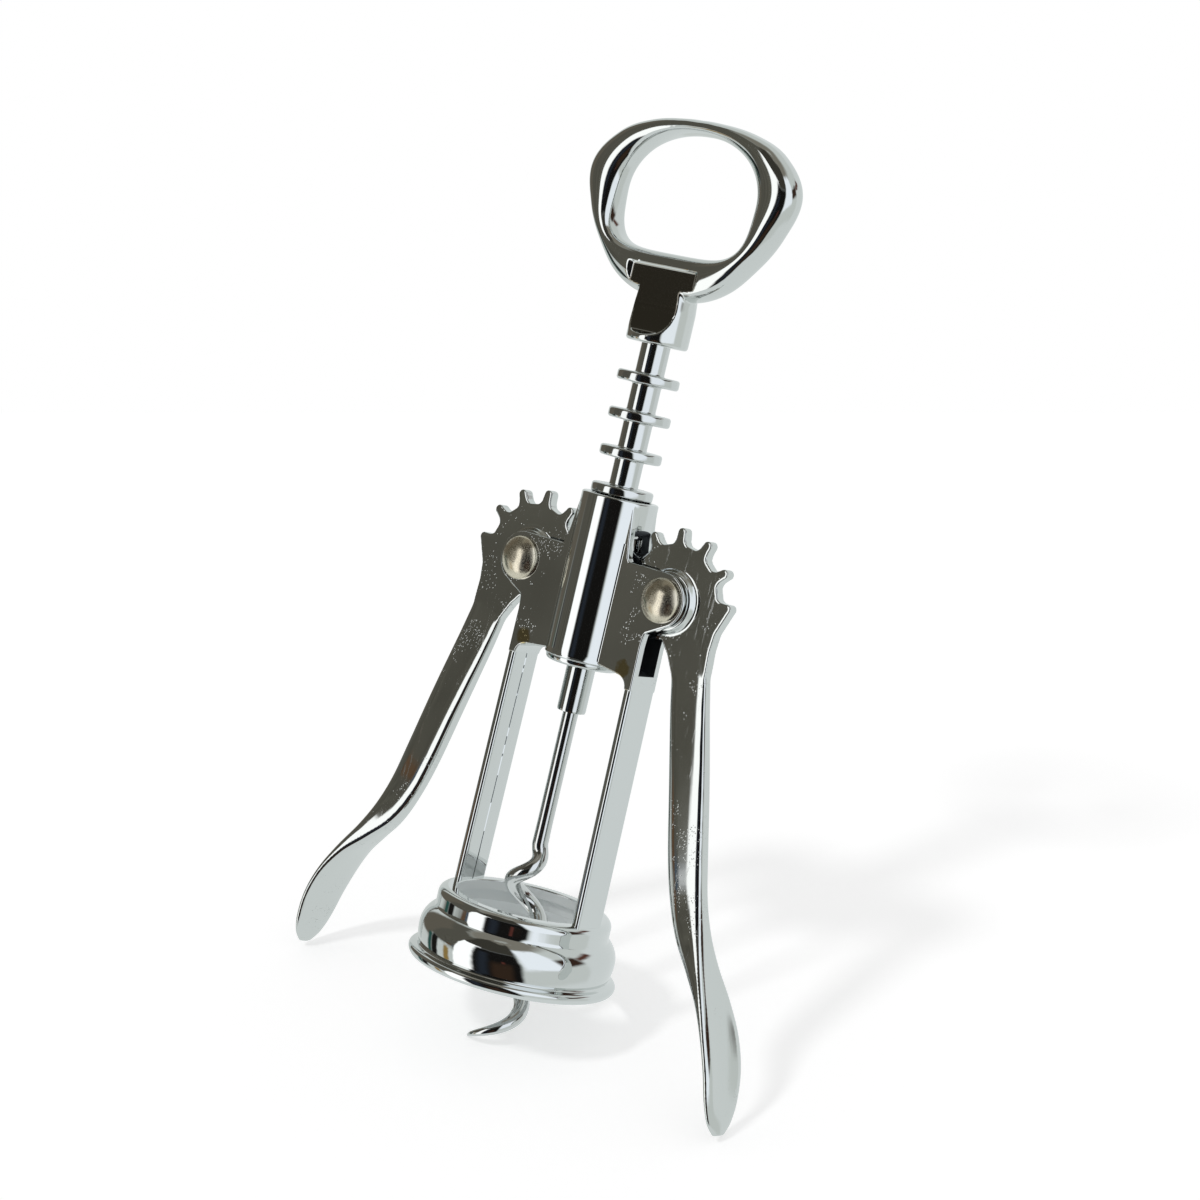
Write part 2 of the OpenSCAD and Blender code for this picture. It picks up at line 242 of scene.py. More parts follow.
def bell():
    """The hollow bell: a bead at the rim, a swelling band, a neck and a round hole in its top."""
    band, band_r, lower_half = (BELL_R - 6.1, 6), 5, 7.9
    mouth, ceiling, top = BELL_R - 2.2, BELL_H - 2, 1.7
    outline = [(mouth, 0)]
    outline += arc((BELL_R - 1.35, 1.35), 1.35, -90, 0, 16)
    outline += arc((BELL_R - 0.75, 1.35), 0.75, 0, 62, 10)[1:]
    outline += [(BELL_R - 0.8, 2.18), (BELL_R - 1.25, 2.3), (BELL_R - 1.5, 2.5)]
    low = [radians(-25 + 3 * i) for i in range(8)]
    outline += [(band[0] + band_r * cos(a), band[1] + lower_half * sin(a)) for a in low]
    outline += arc(band, band_r, 0, 52, 22)
    outline += [(BELL_NECK_R + 0.12, 10.1), (BELL_NECK_R + 0.03, 10.4), (BELL_NECK_R, 10.8)]
    outline += arc((BELL_NECK_R - top, BELL_H - top), top, 0, 90, 16)
    outline += arc((BELL_HOLE_R + 0.3, BELL_H - 0.3), 0.3, 90, 180, 4)
    outline += [(BELL_HOLE_R, ceiling), (BELL_NECK_R - 2, ceiling)]
    outline += [(BELL_NECK_R - 1.5, ceiling - 0.5), (BELL_NECK_R - 1.5, 9.6)]
    outline += arc(band, band_r - BELL_WALL, 40, -25, 12)
    outline += [(mouth - 0.2, 1)]
    return turned("bell", outline, 240)


# The legs lean inwards from LEG_FOOT_X at the bell to LEG_HEAD_X at LEG_HEAD_Z
LEG_HEAD_Z = 59
LEAN = (LEG_FOOT_X - LEG_HEAD_X) / 45.5


def leg_x(z):
    """The middle of the right leg at a height."""
    return LEG_HEAD_X + (LEG_HEAD_Z - z) * LEAN


def leg():
    """A flat leg with rounded corners and the mould's fine parting line down its inner side."""
    foot, head, corner, groove = BELL_H - 1.6, 62, 0.65, 0.12
    hw, hd = LEG_T / 2, LEG_DEPTH / 2
    section = []
    for sx, sy, a in ((1, 1, 0), (-1, 1, 90), (-1, -1, 180), (1, -1, 270)):
        section += arc((sx * (hw - corner), sy * (hd - corner)), corner, a, a + 90, 8)
        if a == 90:
            section += [(-hw, 0.15), (groove - hw, 0), (-hw, -0.15)]
    rings = []
    for k in range(9):
        z = foot + (head - foot) * k / 8
        rings.append([(leg_x(z) + x, y, z) for x, y in section])
    return lofted("leg", rings)


def ear():
    """The ears and the arm under them, with a fin that runs up the barrel's side."""
    web, ear_top = 2.4, PIVOT_Z + EAR_R
    inner, outer = leg_x(LEG_HEAD_Z) - LEG_T / 2, leg_x(69) + LEG_T / 2
    foot = ARM_Z - web
    outline = [(BARREL_R - 2, 93.7), (BARREL_R - 1, 93.7), (BARREL_R - 0.05, ear_top + 3.3)]
    outline += [(BARREL_R + 0.45, ear_top + 0.7), (BARREL_R + 0.9, ear_top)]
    outline += arc((PIVOT_X, PIVOT_Z), EAR_R, 90, -55, 36)
    outline += [(outer + 0.45, 71.25), (outer + 0.2, 70.8), (outer + 0.1, 70), (outer, 68.4)]
    outline += [(leg_x(foot) + LEG_T / 2, foot)]
    outline += arc((inner - web, foot), web, 0, 90, 12)
    outline += [(BARREL_R - 2, ARM_Z + 0.7)]
    return edges_rounded(upright("ear", outline, EAR_DEPTH), 0.42, 4)


def barrel():
    """The tube that guides the rack, with a lip at its foot."""
    low, top = BARREL_BOTTOM, BARREL_TOP
    outline = [(BORE_R, low + 0.2), (BORE_R + 0.2, low)]
    outline += arc((BARREL_R - 1.05, low + 0.8), 0.8, -90, 0, 8)
    outline += [(BARREL_R - 0.25, low + 1.1), (BARREL_R - 0.14, low + 1.2)]
    outline += [(BARREL_R + 0.04, low + 1.26)]
    outline += arc((BARREL_R, low + 1.45), 0.15, -60, 30, 5)
    outline += [(BARREL_R + 0.05, low + 1.9), (BARREL_R, low + 2.6)]
    outline += arc((BARREL_R - 0.45, top - 0.45), 0.45, 0, 90, 8)
    outline += arc((BORE_R + 0.2, top - 0.2), 0.2, 90, 180, 4)
    return turned("barrel", outline, 240)


def junction(side, face):
    """The small fillet where an ear's flat face runs into the round barrel."""
    half, f, low, high = EAR_DEPTH / 2, 0.55, ARM_Z + 1, PIVOT_Z + EAR_R + 3
    cx = sqrt((BARREL_R + f) ** 2 - (half + f) ** 2)
    start = atan2(half + f, cx) * 180 / pi + 180
    section = arc((cx, half + f), f, start, 270, 8) + [(cx, half - 0.4), (cx - 1, half - 0.4)]
    rings = [[(side * x, -face * y, z) for x, y in section] for z in (low, high)]
    return lofted("junction", rings)


def cylinder_across(r, length, x):
    """A cutter round a pivot, from front to back."""
    half = length / 2
    outline = [(0, -half), (r, -half), (r, half), (0, half)]
    return turned("cutter", outline, 180, forward=True, centre=(x, 0, PIVOT_Z))


def frame_casting():
    """The whole frame, bored for the rack, slotted for the gears and drilled for the rivets."""
    made = bell()
    for form in (leg(), ear()):
        combined(made, mirrored(form, "left_form"))
        combined(made, form)
    combined(made, barrel())
    for side, face in ((1, 1), (-1, 1), (1, -1), (-1, -1)):
        combined(made, junction(side, face))
    low, high, through = BARREL_BOTTOM - 6, BARREL_TOP + 6, EAR_DEPTH + 4
    bore = turned("bore", [(0, low), (BORE_R, low), (BORE_R, high), (0, high)], 240)
    combined(made, bore, "DIFFERENCE")
    for side in (1, -1):
        combined(made, cylinder_across(POCKET_R, SLOT_W, side * PIVOT_X), "DIFFERENCE")
        combined(made, cylinder_across(RIVET_R, through, side * PIVOT_X), "DIFFERENCE")
    made.name = "casting_frame"
    return made


# --- levers -------------------------------------------------------------------------------

TEETH, TOOTH_STEP, FIRST_TOOTH = 7, 29.05, 19.5
HUB_R, HUB_FOOT_R, HUB_T = 5.45, 5.95, SLOT_W - 0.2

# Stations down the shank and paddle: x, z, half width, half depth, corner exponent, dish
SHANK = [
    [3.4, -5, 3.6, 1.0, 8, 0],
    [3.75, -9, 3.9, 1.05, 8, 0],
    [4.1, -13, 3.95, 1.1, 7, 0],
    [3.85, -21, 4, 1.3, 6, 0],
    [3.7, -34, 4, 1.6, 5, 0],
    [3.4, -47, 3.9, 1.75, 4.5, 0],
    [3.6, -55, 3.6, 1.8, 4.2, 0],
    [4.6, -61.5, 3.1, 2.3, 4, 0],
    [6.6, -67.5, 2.2, 3.3, 3.6, 0.1],
    [8.9, -73.5, 1.55, 4.7, 2.8, 0.5],
    [10.4, -79.5, 1.3, 5.6, 2.4, 0.8],
    [11, -85.5, 1.2, 5.6, 2.4, 0.8],
    [10.7, -91, 1.1, 4.9, 2.4, 0.4],
    [10.3, -94.8, 0.95, 3.5, 2.2, 0],
    [10.1, -97, 0.6, 1.6, 2, 0],
]


def about(p, degrees):
    """A point turned about the pivot."""
    a = radians(degrees)
    return p[0] * cos(a) - p[1] * sin(a), p[0] * sin(a) + p[1] * cos(a)


def tooth(degrees):
    """One finger-like tooth, from its foot on one side to its foot on the other."""
    w, foot = TOOTH_W / 2, 1.75
    points = [(ROOT_R - 0.15, -foot), (ROOT_R + 0.2, -w - 0.42), (ROOT_R + 0.7, -w - 0.15)]
    points += [(TIP_R - 1.4, -w)] + arc((TIP_R - w, 0), w, -75, 75, 12) + [(TIP_R - 1.4, w)]
    points += [(ROOT_R + 0.7, w + 0.15), (ROOT_R + 0.2, w + 0.42), (ROOT_R - 0.15, foot)]
    return [about(p, degrees) for p in points]


def shank_ring(u, count=48):
    """The shank's section at u, square to its run and dished where the thumb goes."""
    s = smooth_row(SHANK, u)
    last = len(SHANK) - 1
    ahead, behind = smooth_row(SHANK, min(u + 0.05, last)), smooth_row(SHANK, max(u - 0.05, 0))
    way = ahead[0] - behind[0], ahead[1] - behind[1]
    length = sqrt(way[0] ** 2 + way[1] ** 2)
    out = -way[1] / length, way[0] / length
    ring = []
    for j in range(count):
        h, d = rounded(s[2], s[3], s[4], 2 * pi * (j + 0.5) / count)
        dish = s[5] * max(0, 1 - (1.35 * d / s[3]) ** 2) if h > 0 else 0
        ring.append((s[0] + out[0] * (h - dish), d, s[1] + out[1] * (h - dish)))
    return ring


def lever_casting():
    """The right lever, made hanging down and then turned to where it stands open."""
    plate = [(4, -24), (6.6, -19.5), (8.3, -13), (9.1, -9.6), (10.3, -6.6), (12.1, -4.4)]
    plate += tooth(FIRST_TOOTH - TOOTH_STEP)[9:]
    for k in range(TEETH):
        plate += tooth(FIRST_TOOTH + k * TOOTH_STEP)
    plate += [about((r, 0), a) for r, a in ((10.2, 212), (8.8, 228), (7.7, 243), (7.45, 255.5))]
    plate += [(-0.7, -9.8), (0.1, -13), (1.2, -19.5)]
    hub = [(0, -HUB_T / 2), (HUB_R, -HUB_T / 2), (HUB_FOOT_R, -GEAR_T / 2 - 0.3)]
    hub += [(HUB_FOOT_R + 0.25, -GEAR_T / 2), (HUB_FOOT_R + 0.25, GEAR_T / 2)]
    hub += [(HUB_FOOT_R, GEAR_T / 2 + 0.3), (HUB_R, HUB_T / 2), (0, HUB_T / 2)]
    per_station, half = 8, HUB_T / 2 + 2.7
    steps = (len(SHANK) - 1) * per_station
    forms = [
        upright("lever", plate, GEAR_T),
        turned("hub", hub, 120, forward=True),
        lofted("shank", [shank_ring(i / per_station) for i in range(steps + 1)]),
    ]
    made = cast_skin(forms, grain=0.17, passes=5)
    bore = RIVET_R + 0.05
    outline = [(0, -half), (bore, -half), (bore, half), (0, half)]
    combined(made, turned("bore", outline, 96, forward=True), "DIFFERENCE")
    place = Matrix.Translation((PIVOT_X * MM, 0, PIVOT_Z * MM)) @ Matrix.Rotation(-OPEN, 4, "Y")
    made.data.transform(place)
    return made


# --- rivets -------------------------------------------------------------------------------


def rivet(name, side):
    """A domed head with a thick edge at the front, and a flat set end at the back."""
    head, edge, dome, tail, front = 4.25, 0.6, 1.7, 3.7, EAR_DEPTH / 2
    outline = [(0, -front - 1.3), (tail - 1.2, -front - 1.3), (tail - 0.6, -front - 1.15)]
    outline += [(tail - 0.2, -front - 0.8), (tail, -front - 0.35), (tail, -front)]
    outline += [(RIVET_R, -front), (RIVET_R, front), (head, front), (head, front + edge - 0.2)]
    outline += [(head - 0.03, front + edge - 0.05)]
    across = [(head - 0.12) * (1 - k / 22) for k in range(23)]
    outline += [(r, front + edge + dome * (1 - (r / head) ** 2.7)) for r in across]
    return turned(name, outline, 96, forward=True, centre=(side * PIVOT_X, 0, PIVOT_Z))


# --- rack, worm and handle --------------------------------------------------------------------


def rack():
    """A round stem with eight rings, and a bore for the wire."""
    bore, foot, top_ring, round_r, half = WIRE_R + 0.05, 52, 117, 0.55, RING_T / 2
    outline = [(bore, foot), (STEM_R - 0.5, foot), (STEM_R - 0.1, foot + 0.12), (STEM_R, foot + 0.5)]
    for k in range(7, -1, -1):
        z = top_ring - k * RING_PITCH
        outline += [(STEM_R, z - half - 0.35), (STEM_R + 0.1, z - half - 0.1)]
        outline += [(STEM_R + 0.35, z - half)]
        outline += arc((RING_R - round_r, z - half + round_r), round_r, -90, 0, 7)
        outline += arc((RING_R - round_r, z + half - round_r), round_r, 0, 90, 7)
        outline += [(STEM_R + 0.35, z + half), (STEM_R + 0.1, z + half + 0.1)]
        outline += [(STEM_R, z + half + 0.35)]
    outline += [(STEM_R, BOSS_Z - 0.05), (bore, BOSS_Z - 0.05)]
    return turned("ringed_rack", outline, 144)


# Heights of the worm's tip, of the bend's top and of where it leaves the axis, the tip's direction,
# and how much of a turn its grinding takes
WORM_TIP, HELIX_TOP, LEAD_IN, TIP_AZIMUTH, TIP_TAPER = -14.4, 31, 26, radians(218), 0.42


def worm_point(z):
    """The wire's middle at a height."""
    a = TIP_AZIMUTH + 2 * pi * (z - WORM_TIP) / WORM_PITCH
    r = WORM_R * eased((LEAD_IN - z) / 8) + 1.6 * eased((-6 - z) / 8)
    return Vector((r * cos(a), r * sin(a), z))


def wire_worm():
    """The wire: a straight shank that runs out into an open right-handed helix, ground to a point."""
    heights = [133 - k * 12 for k in range(9)]
    heights += [HELIX_TOP - (HELIX_TOP - WORM_TIP) * k / 330 for k in range(331)]
    rings = []
    for z in heights:
        way = (worm_point(z - 0.2) - worm_point(z + 0.2)).normalized()
        e = way.cross(Vector((sin(TIP_AZIMUTH), -cos(TIP_AZIMUTH), 0.3))).normalized()
        f = e.cross(way)
        left = (z - WORM_TIP) / WORM_PITCH
        taper = 1 if left > TIP_TAPER else 0.08 + 0.92 * (max(0, left) / TIP_TAPER) ** 0.75
        r = WIRE_R * taper * (1 + 0.04 * eased((HELIX_TOP - z) / 6))
        turns = [2 * pi * j / 28 for j in range(28)]
        rings.append([worm_point(z) + r * (cos(a) * e + sin(a) * f) for a in turns])
    return lofted("wire_worm", rings)


# The middle of the hoop's opening
HOOP_C = 151.3
# The hoop's outer radius every 20 degrees from straight down to straight up
HOOP_EDGE = [[v] for v in (18.3, 19.6, 20.3, 20.6, 22.5, 24.7, 21.9, 18.2, 15.8, 15)]


def hoop_ring(turn):
    """The hoop's section at an angle round its opening, from straight down."""
    a = 360 - turn if turn > 180 else turn
    up = a > 90
    h, e = (12.3, 2.2) if up else (HOOP_C - BAR_Z, 4.0)
    s, c = sin(radians(a)), abs(cos(radians(a)))
    inner = ((s / OPENING_R) ** e + (c / h) ** e) ** (-1 / e)
    outer = smooth_row(HOOP_EDGE, a / 20)[0]
    ring = []
    for j in range(40):
        p, d = rounded((outer - inner) / 2, HOOP_DEPTH / 2, 2.4, 2 * pi * (j + 0.5) / 40)
        r = (outer + inner) / 2 + p
        ring.append((r * sin(radians(turn)), d, HOOP_C - r * cos(radians(turn))))
    return ring


def handle():
    """The boss and hoop, with the scoop under the bar that gives a cap's edge room."""
    boss = [(0, BOSS_Z)] + arc((BOSS_R - 0.6, BOSS_Z + 0.6), 0.6, -90, 0, 6)
    boss += [(BOSS_R, 130.5), (BOSS_R - 0.2, 133), (BOSS_R - 0.9, 135.5), (BOSS_R - 2, 137.6)]
    boss += [(BOSS_R - 3.5, 139), (0, 139.3)]
    hoop = lofted("hoop", [hoop_ring(360 * i / 180) for i in range(180)], closed=True)
    made = cast_skin([turned("boss", boss, 120), hoop], 0.2, 3)
    top, floor_y, half_width, flare = BAR_Z - 2.7, -2.9, 7.6, 1.5
    scoop = [(floor_y, top), (floor_y, 131), (-3.0, 129.8), (-3.2, 128.9), (-3.5, 127.9), (-3.9, 127.1)]
    scoop += [(-4.4, 126.3), (-4.9, 125.7), (-5.6, 125.2), (-6.4, 124.9), (-8, 124.9), (-8, top)]
    n = len(scoop)
    widths = [half_width - flare * (y - floor_y) for y, z in scoop]
    points = [(side * w, y, z) for side in (-1, 1) for w, (y, z) in zip(widths, scoop)]
    faces = [tuple(range(n)), tuple(reversed(range(n, 2 * n)))]
    faces += [(i, n + i, n + (i + 1) % n, (i + 1) % n) for i in range(n)]
    combined(made, tidied(piece("scoop", points, faces)), "DIFFERENCE")
    return cast_skin([made], 0.2, 5)


# --- finishes ---------------------------------------------------------------------------------


def linear(hex_colour):
    """An sRGB hex colour as Blender's linear one."""
    parts = [int(hex_colour[i:i + 2], 16) / 255 for i in (1, 3, 5)]
    return tuple(c / 12.92 if c <= 0.04045 else ((c + 0.055) / 1.055) ** 2.4 for c in parts) + (1,)


def node(tree, kind, settings=(), **links):
    """Adds a shader node. Settings go to its properties, and links to its sockets, each a value or
    another node's socket. A socket goes by its name, or by its number, as in i0."""
    made = tree.nodes.new("ShaderNode" + kind)
    for key, value in dict(settings).items():
        setattr(made, key, value)
    for key, value in links.items():
        numbered = key[0] == "i" and key[1:].isdigit()
        socket = made.inputs[int(key[1:]) if numbered else key.replace("_", " ")]
        if isinstance(value, bpy.types.NodeSocket):
            tree.links.new(value, socket)
        else:
            socket.default_value = value
    return made


def empty_material(name):
    made = bpy.data.materials.new(name)
    made.use_nodes = True
    made.node_tree.nodes.clear()
    return made, made.node_tree


def per_mm(size):
    """The scale of a pattern whose grain is so many millimetres."""
    return 1 / (size * MM)


def on_ears(tree, place):
    """1 on the ears, where the casting is porous, and 0 on the polished rest of the frame."""
    apart = node(tree, "SeparateXYZ", Vector=place)
    away = node(tree, "Math", {"operation": "ABSOLUTE"}, i0=apart.outputs["X"]).outputs[0]
    wide = node(tree, "Math", {"operation": "GREATER_THAN"}, i0=away, i1=8 * MM).outputs[0]
    high = node(
        tree, "Math", {"operation": "GREATER_THAN"}, i0=apart.outputs["Z"], i1=61 * MM
    ).outputs[0]
    return node(tree, "Math", {"operation": "MULTIPLY"}, i0=wide, i1=high).outputs[0]


def lacquer(tree, place):
    """A yellowed trace of lacquer in each ear's lower corner."""
    folded = node(tree, "VectorMath", {"operation": "ABSOLUTE"}, i0=place).outputs[0]
    corner = (12.6 * MM, EAR_DEPTH / 2 * MM, 63.6 * MM)
    from_corner = node(
        tree, "VectorMath", {"operation": "DISTANCE"}, i0=folded, i1=corner
    ).outputs["Value"]
    ragged = node(tree, "TexNoise", Vector=place, Scale=per_mm(1.2), Detail=3.0).outputs["Fac"]
    near = node(
        tree, "MapRange", Value=from_corner,
        From_Min=0.6 * MM, From_Max=2.6 * MM, To_Min=1.0, To_Max=0.0
    )
    patch = node(tree, "Math", {"operation": "MULTIPLY"}, i0=near.outputs[0], i1=ragged).outputs[0]
    return node(
        tree, "MapRange", Value=patch, From_Min=0.18, From_Max=0.34, To_Min=0.0, To_Max=0.75
    ).outputs[0]


def parting(tree, place):
    """Painted shade: a dark broken line down the mould's parting groove on the inner side of each leg,
    standing for the shade in the groove.
    """
    folded = node(tree, "VectorMath", {"operation": "ABSOLUTE"}, i0=place).outputs[0]
    apart = node(tree, "SeparateXYZ", Vector=folded)
    mask = node(tree, "TexNoise", Vector=place, Scale=per_mm(2.2), Detail=1.0).outputs["Fac"]
    mask = node(tree, "Math", {"operation": "GREATER_THAN"}, i0=mask, i1=0.42).outputs[0]
    on_line = (
        ("Y", "LESS_THAN", 0.13),
        ("X", "LESS_THAN", 15),
        ("X", "GREATER_THAN", 13),
        ("Z", "LESS_THAN", 60),
    )
    for axis, how, mm in on_line:
        test = node(tree, "Math", {"operation": how}, i0=apart.outputs[axis], i1=mm * MM).outputs[0]
        mask = node(tree, "Math", {"operation": "MULTIPLY"}, i0=mask, i1=test).outputs[0]
    return mask


def plated(
    name, base, rough, pits=0.0, waviness=0.0, scratches=0.0,
    speck_mm=0.42, ears=False, grain=0.0, metal=1.0
):
    """Bright plating over cast or drawn metal: a mirror that shows the casting's faint waviness,
    its pits as pale specks in clusters, and the hairlines of polishing and use. Pits and waviness
    are depths in millimetres. The pits' specks and the grain are coarser than real, so they show."""
    made, tree = empty_material(name)
    place = node(tree, "TexCoord").outputs["Object"]
    height = None
    rough_socket = rough
    if waviness:
        swell = node(tree, "TexNoise", Vector=place, Scale=per_mm(5), Detail=1.0)
        height = node(
            tree, "Math", {"operation": "MULTIPLY"}, i0=swell.outputs["Fac"], i1=waviness
        ).outputs[0]
    if pits:
        warp = node(tree, "TexNoise", Vector=place, Scale=per_mm(1.1), Detail=2.0)
        warped = node(
            tree, "Mix", {"data_type": "VECTOR"},
            Factor=0.0006, i4=place, i5=warp.outputs["Color"]
        ).outputs[1]
        cells = node(tree, "TexVoronoi", Vector=warped, Scale=per_mm(speck_mm))
        near = node(
            tree, "MapRange", {"interpolation_type": "SMOOTHSTEP"},
            Value=cells.outputs["Distance"], From_Min=0.12, From_Max=0.3, To_Min=1.0, To_Max=0.0
        ).outputs[0]
        herd = node(tree, "TexNoise", Vector=place, Scale=per_mm(7), Detail=4.0, Roughness=0.6)
        where = node(
            tree, "MapRange", {"interpolation_type": "SMOOTHSTEP"},
            Value=herd.outputs["Fac"], From_Min=0.525, From_Max=0.63, To_Min=0.0, To_Max=1.0
        ).outputs[0]
        if ears:
            where = node(
                tree, "Math", {"operation": "MULTIPLY"}, i0=where, i1=on_ears(tree, place)
            ).outputs[0]
        chosen = node(
            tree, "Math", {"operation": "GREATER_THAN"},
            i0=cells.outputs["Color"], i1=0.4
        ).outputs[0]
        speck = node(tree, "Math", {"operation": "MULTIPLY"}, i0=near, i1=where).outputs[0]
        speck = node(tree, "Math", {"operation": "MULTIPLY"}, i0=speck, i1=chosen).outputs[0]
        sunk = node(tree, "Math", {"operation": "MULTIPLY"}, i0=speck, i1=-pits).outputs[0]
        height = sunk if height is None else node(
            tree, "Math", {"operation": "ADD"}, i0=height, i1=sunk
        ).outputs[0]
        rough_socket = node(
            tree, "MapRange", Value=speck, From_Min=0.0, From_Max=1.0, To_Min=rough, To_Max=0.6
        ).outputs[0]
    if grain:
        fine = node(tree, "TexNoise", Vector=place, Scale=per_mm(0.13), Detail=1.0)
        brushed = node(
            tree, "MapRange", Value=fine.outputs["Fac"],
            From_Min=0.35, From_Max=0.65, To_Min=0.0, To_Max=grain
        ).outputs[0]
        rough_socket = node(
            tree, "Math", {"operation": "ADD"}, i0=rough_socket, i1=brushed
        ).outputs[0]
    if scratches:
        along = node(
            tree, "Mapping", Vector=place,
            Rotation=(0, radians(32), 0), Scale=(per_mm(0.5), per_mm(0.5), per_mm(7))
        ).outputs[0]
        lines = node(tree, "TexNoise", Vector=along, Scale=1.0, Detail=2.0, Roughness=0.6)
        hair = node(
            tree, "MapRange", {"interpolation_type": "SMOOTHSTEP"},
            Value=lines.outputs["Fac"], From_Min=0.63, From_Max=0.7, To_Min=0.0, To_Max=scratches
        ).outputs[0]
        rough_socket = node(tree, "Math", {"operation": "ADD"}, i0=rough_socket, i1=hair).outputs[0]
    colour = linear(base)
    if ears:
        colour = node(
            tree, "Mix", {"data_type": "RGBA"},
            i0=lacquer(tree, place), i6=colour, i7=linear("#b09a4a")
        ).outputs[2]
        # Painted shade: dark grey mixed in along the legs' parting groove
        colour = node(
            tree, "Mix", {"data_type": "RGBA"},
            i0=parting(tree, place), i6=colour, i7=linear("#565b5a")
        ).outputs[2]
    shader = node(tree, "BsdfPrincipled", Base_Color=colour, Metallic=metal, Roughness=rough_socket)
    if height is not None:
        bump = node(tree, "Bump", Strength=1.0, Distance=MM, Height=height).outputs[0]
        tree.links.new(bump, shader.inputs["Normal"])
    node(tree, "OutputMaterial", Surface=shader.outputs[0])
    return made


# Chrome over cast zinc: cool, mirror-bright, with pits where the casting was porous
FRAME_CHROME = plated(
    "chrome_plated_casting", "#dfe2e1", 0.05, pits=0.035, waviness=0.004, ears=True
)
LEVER_CHROME = plated(
    "chrome_plated_lever", "#dbdedc", 0.055, pits=0.035, waviness=0.006, scratches=0.1
)
HANDLE_CHROME = plated("chrome_plated_handle", "#dcdfdd", 0.06, waviness=0.006, scratches=0.05)
RACK_CHROME = plated("chrome_plated_rack", "#d9dcdb", 0.07, waviness=0.004, scratches=0.08)
# Nickel plated steel: a warmer, slightly softer mirror
RIVET_NICKEL = plated(
    "nickel_plated_rivet", "#e2dac6", 0.13, pits=0.012, scratches=0.06, speck_mm=0.3, grain=0.26
)
# Chrome over drawn steel wire: a slightly softer mirror with fine hairlines
WIRE_CHROME = plated("chrome_plated_wire", "#d8dad9", 0.08, waviness=0.003, scratches=0.1)

# Chrome over the unpolished inside of the casting: a soft satin grey
INSIDE_SATIN = plated("plated_as_cast_inside", "#eef2f2", 0.62, waviness=0.004, metal=0.45)
# Painted shade: a dull dark grey on the faces inside the slots between the ears, standing for the shade
# down in the slots
SLOT_PAINTED_SHADE = plated("slot_painted_shade", "#7b8085", 0.45, waviness=0.004)
# Painted shade and painted dark reflection: a darker chrome in the recessed scoop under the bar, so
# that it looks nearly black
SCOOP_PAINTED_SHADE = plated("scoop_painted_shade", "#77736b", 0.1, waviness=0.004)


def satin_inside_and_slot_shade(made):
    """Gives the bell's inner faces the satin finish that a polishing wheel left alone, and the slots'
    faces a painted shade in dull dark grey.
    """
    made.data.materials.append(INSIDE_SATIN)
    made.data.materials.append(SLOT_PAINTED_SHADE)
    for face in made.data.polygons:
        c, n = face.center / MM, face.normal
        floor_r = sqrt((abs(c.x) - PIVOT_X) ** 2 + (c.z - PIVOT_Z) ** 2)
        # The faces inside the slots get the painted shade
        in_slot = abs(c.y) < SLOT_W / 2 + 0.01 and abs(c.x) > BORE_R + 0.1
        if in_slot and c.z > 60 and (abs(n.y) > 0.9 or abs(floor_r - POCKET_R) < 0.05):
            face.material_index = 2
        from_axis = Vector((c.x, c.y, 0))
        inwards = from_axis.normalized().dot(n) < -0.15 or n.z < -0.5 and c.z > 1.5
        in_bell = c.z < BELL_H - 0.6 and c.length > 12 and from_axis.length < BELL_R - 1.6
        if in_bell and inwards:
            face.material_index = 1


casting = finished(frame_casting(), FRAME_CHROME)
satin_inside_and_slot_shade(casting)
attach(casting, "frame")
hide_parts("frame")

right = lever_casting()
right.name = "lever_arm_right"
left = mirrored(right, "lever_arm_left")
for arm, node_name in ((right, "lever_right"), (left, "lever_left")):
    finished(arm, LEVER_CHROME, 60)
    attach(arm, node_name)
    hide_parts(node_name)

for side, node_name in ((1, "rivet_right"), (-1, "rivet_left")):
    head = finished(rivet(node_name + "_domed", side), RIVET_NICKEL, 40)
    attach(head, "frame")
    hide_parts(node_name)

ringed = finished(rack(), RACK_CHROME)
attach(ringed, "rack")
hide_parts("rack")

worm = finished(wire_worm(), WIRE_CHROME, 50)
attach(worm, "spindle")
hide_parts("worm")

hoop = finished(handle(), HANDLE_CHROME, 60)
# The scoop's faces under the bar get the painted shade and dark reflection
hoop.data.materials.append(SCOOP_PAINTED_SHADE)
for face in hoop.data.polygons:
    c, n = face.center / MM, face.normal
    by_scoop = 124.8 < c.z < BAR_Z - 2.6 and abs(c.x) < 9 and c.y < -2.6 and n.y < -0.05
    in_boss = Vector((c.x, c.y)).length < BOSS_R - 0.3 and c.z < 134
    on_flat = n.y < -0.97 and abs(c.y + 2.9) < 0.12
    if by_scoop and (in_boss or on_flat):
        face.material_index = 1
hoop.name = "hoop_handle"
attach(hoop, "spindle")
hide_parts("handle")

# --- studio -----------------------------------------------------------------------------------

# The corkscrew leans back on the floor. UP is the floor's upward direction in its frame, and the
# other directions and EYE, in metres, are the camera's
UP = Vector((0, -0.3432, 0.9393))
RIGHT = Vector((0.7524119, 0.61868346, 0.2260688))
AHEAD = Vector((-0.61519709, 0.78269247, -0.09447244))
DOWN_IMAGE = Vector((0.23539089, 0.06799468, -0.96951939))
EYE = Vector((0.28605698, -0.36300505, 0.11804804))
ACROSS = (RIGHT - UP * RIGHT.dot(UP)).normalized()

